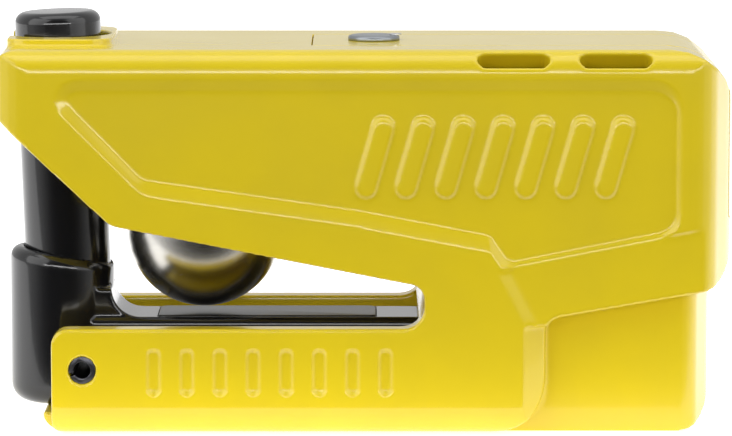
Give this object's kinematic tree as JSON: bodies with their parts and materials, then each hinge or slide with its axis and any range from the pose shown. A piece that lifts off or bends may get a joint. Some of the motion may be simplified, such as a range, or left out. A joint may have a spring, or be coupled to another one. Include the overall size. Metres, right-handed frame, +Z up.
{
  "type": "disc brake lock",
  "caption": "Disc brake lock with a C-shaped painted steel body, a black push-down bolt in the mouth, a sprung steel ball, a pinned lower bar and a built-in alarm.",
  "frame": {"origin": "middle of the underside, where the lock rests on its lower arm", "axes": "+X from the mouth to the alarm end, +Y towards the rear face, +Z up along the bolt"},
  "size_m": [0.135, 0.048, 0.076],
  "materials": {
    "yellow_paint": "thick gloss coat",
    "black_coating": "gloss black coat",
    "black_pad": "satin",
    "satin_steel": "satin nickel",
    "dark_steel": "blackened",
    "zinc_steel": "zinc plated",
    "spring_steel": "drawn wire",
    "brass_part": "turned",
    "grey_shutter": "satin",
    "seal_rubber": "matte",
    "black_plastic": "moulded",
    "battery_can": "printed sleeve, plain",
    "board_green": "solder mask"
  },
  "bodies": {
    "frame": {"lock_body": "yellow_paint", "alarm_cover": "yellow_paint", "cover_gasket": "seal_rubber", "cover_screw": "zinc_steel", "bolt_guide_sleeve": "dark_steel", "bolt_stop_pin": "zinc_steel", "disc_rest_bar": "black_coating", "rest_pad": "black_pad", "roll_pin": "dark_steel", "bar_screw": "zinc_steel", "feeler_post": "dark_steel", "feeler_spring": "spring_steel", "cylinder_housing": "brass_part", "shutter_rivet": "zinc_steel", "battery_holder": "black_plastic", "battery_1": "battery_can", "battery_2": "battery_can", "battery_3": "battery_can", "battery_4": "battery_can", "battery_contacts": "spring_steel", "circuit_board": "board_green", "siren": "black_plastic", "sound_mesh": "black_plastic", "arming_switch": "black_plastic"},
    "bolt": {"bolt": "black_coating"},
    "feeler": {"feeler_ball": "satin_steel", "feeler_retainer": "brass_part"},
    "plug": {"cylinder_plug": "brass_part", "detainer_discs": "satin_steel", "cam_pin": "spring_steel"},
    "slide": {"locking_slide": "zinc_steel"},
    "shutter": {"keyway_shutter": "grey_shutter"}
  },
  "joints": [
    {"name": "bolt_slide", "type": "slide", "parent": "frame", "child": "bolt", "axis": [-0.0349, 0, 0.9994], "range_m": [0, 0.014]},
    {"name": "plug_turn", "type": "hinge", "parent": "frame", "child": "plug", "pos_m": [0.0019, 0, 0.05], "axis": [0, 0, 1], "range_deg": [0, 90]},
    {"name": "slide_engage", "type": "slide", "parent": "frame", "child": "slide", "axis": [-1, 0, 0], "range_m": [0, 0.0032]},
    {"name": "feeler_lift", "type": "slide", "parent": "frame", "child": "feeler", "axis": [0, 0, 1], "range_m": [0, 0.012], "stiffness_N_per_m": 400, "springref_m": -0.006, "deforming": ["feeler_spring"]},
    {"name": "shutter_swing", "type": "hinge", "parent": "frame", "child": "shutter", "pos_m": [0.0059, 0, 0.0704], "axis": [0, 0, 1], "range_deg": [0, 170]}
  ],
  "couplings": [
    {"joint": "plug_turn", "follows": "slide_engage", "rad_per_m": 490.87}
  ]
}
